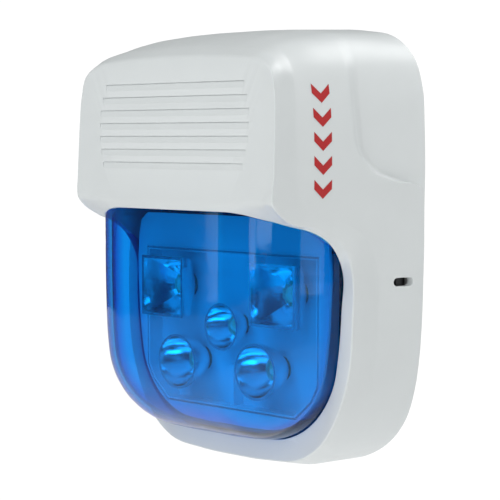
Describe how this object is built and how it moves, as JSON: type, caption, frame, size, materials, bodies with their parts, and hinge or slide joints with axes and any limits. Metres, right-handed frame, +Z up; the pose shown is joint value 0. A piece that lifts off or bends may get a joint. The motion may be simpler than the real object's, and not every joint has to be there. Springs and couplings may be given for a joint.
{
  "type": "alarm siren",
  "caption": "Wall-mounted alarm siren: white satin cover, louvred sounder hood and a rounded blue strobe lens over chrome reflectors, on a clip-on wall plate.",
  "frame": {"origin": "point on the wall plate's rear face midway between its four screw slots; that face lies on the wall", "axes": "+Y into the wall (the front faces -Y), +Z up, +X to the right of someone facing the unit"},
  "size_m": [0.1254, 0.0622, 0.1561],
  "materials": {
    "cover_white": "satin moulded plastic",
    "lens_blue": "clear tinted polycarbonate, polished",
    "gasket_rubber": "matt",
    "tray_white": "satin moulded plastic",
    "reflector_chrome": "vacuum-metallised",
    "lamp_clear": "clear domed",
    "board_green": "solder mask on laminate",
    "steel": "zinc plated",
    "black_plastic": "moulded",
    "cone_paper": "pressed fibre",
    "screen_cloth": "woven acoustic cloth",
    "lead_red": "insulated wire",
    "lead_black": "insulated wire",
    "capacitor_sleeve": "sleeved can",
    "winding_copper": "enamelled winding",
    "contact_brass": "plated contacts in a moulded header",
    "control_green": "moulded",
    "control_white": "moulded",
    "mark_red": "printed film",
    "plate_white": "moulded",
    "latch_grey": "moulded"
  },
  "bodies": {
    "wall_unit": {"wall_plate": "plate_white", "terminal_block": "control_green", "terminal_screw_1": "steel", "terminal_screw_2": "steel", "terminal_screw_3": "steel", "terminal_screw_4": "steel", "latch_spring_left": "steel", "latch_spring_right": "steel"},
    "head": {"front_cover": "cover_white", "lens": "lens_blue", "lens_gasket": "gasket_rubber", "reflector_tray": "tray_white", "reflector_cup_1": "reflector_chrome", "reflector_cup_2": "reflector_chrome", "reflector_cup_3": "reflector_chrome", "reflector_cup_4": "reflector_chrome", "reflector_cup_5": "reflector_chrome", "lamp_1": "lamp_clear", "lamp_2": "lamp_clear", "lamp_3": "lamp_clear", "lamp_4": "lamp_clear", "lamp_5": "lamp_clear", "light_board": "board_green", "main_board": "board_green", "board_screw_1": "steel", "board_screw_2": "steel", "board_screw_3": "steel", "board_screw_4": "steel", "sounder_frame": "black_plastic", "sounder_magnet": "steel", "sounder_cone": "cone_paper", "sounder_screw_1": "steel", "sounder_screw_2": "steel", "sounder_screw_3": "steel", "sounder_screw_4": "steel", "louvre_screen": "screen_cloth", "sounder_lead_a": "lead_red", "sounder_lead_b": "lead_black", "capacitor_1": "capacitor_sleeve", "capacitor_2": "capacitor_sleeve", "step_up_coil": "winding_copper", "driver_chip": "black_plastic", "contact_header": "contact_brass", "tone_selector_body": "black_plastic", "volume_trimmer_body": "control_green", "tamper_switch_body": "black_plastic", "flank_mark_1": "mark_red", "flank_mark_2": "mark_red", "flank_mark_3": "mark_red", "flank_mark_4": "mark_red", "flank_mark_5": "mark_red"},
    "latch_left_body": {"latch_left": "latch_grey"},
    "latch_right_body": {"latch_right": "latch_grey"},
    "tamper_plunger_body": {"tamper_plunger": "control_white"},
    "tone_knob_body": {"tone_selector_knob": "control_white"},
    "volume_rotor_body": {"volume_trimmer_rotor": "control_white"}
  },
  "joints": [
    {"name": "head_pull_off", "type": "slide", "parent": "wall_unit", "child": "head", "axis": [0, -1, 0], "range_m": [0, 0.05]},
    {"name": "latch_left_press", "type": "slide", "parent": "wall_unit", "child": "latch_left_body", "axis": [1, 0, 0], "range_m": [0, 0.003], "stiffness_N_per_m": 500, "springref_m": -0.002, "deforming": ["latch_spring_left"]},
    {"name": "latch_right_press", "type": "slide", "parent": "wall_unit", "child": "latch_right_body", "axis": [-1, 0, 0], "range_m": [0, 0.003], "stiffness_N_per_m": 500, "springref_m": -0.002, "deforming": ["latch_spring_right"]},
    {"name": "tamper_press", "type": "slide", "parent": "head", "child": "tamper_plunger_body", "axis": [0, -1, 0], "range_m": [0, 0.002], "stiffness_N_per_m": 200, "springref_m": -0.002},
    {"name": "tone_select", "type": "slide", "parent": "head", "child": "tone_knob_body", "axis": [1, 0, 0], "range_m": [0, 0.0048]},
    {"name": "volume_trim", "type": "hinge", "parent": "head", "child": "volume_rotor_body", "pos_m": [-0.023, -0.0162, 0.023], "axis": [0, 1, 0], "range_deg": [-135, 135]}
  ]
}
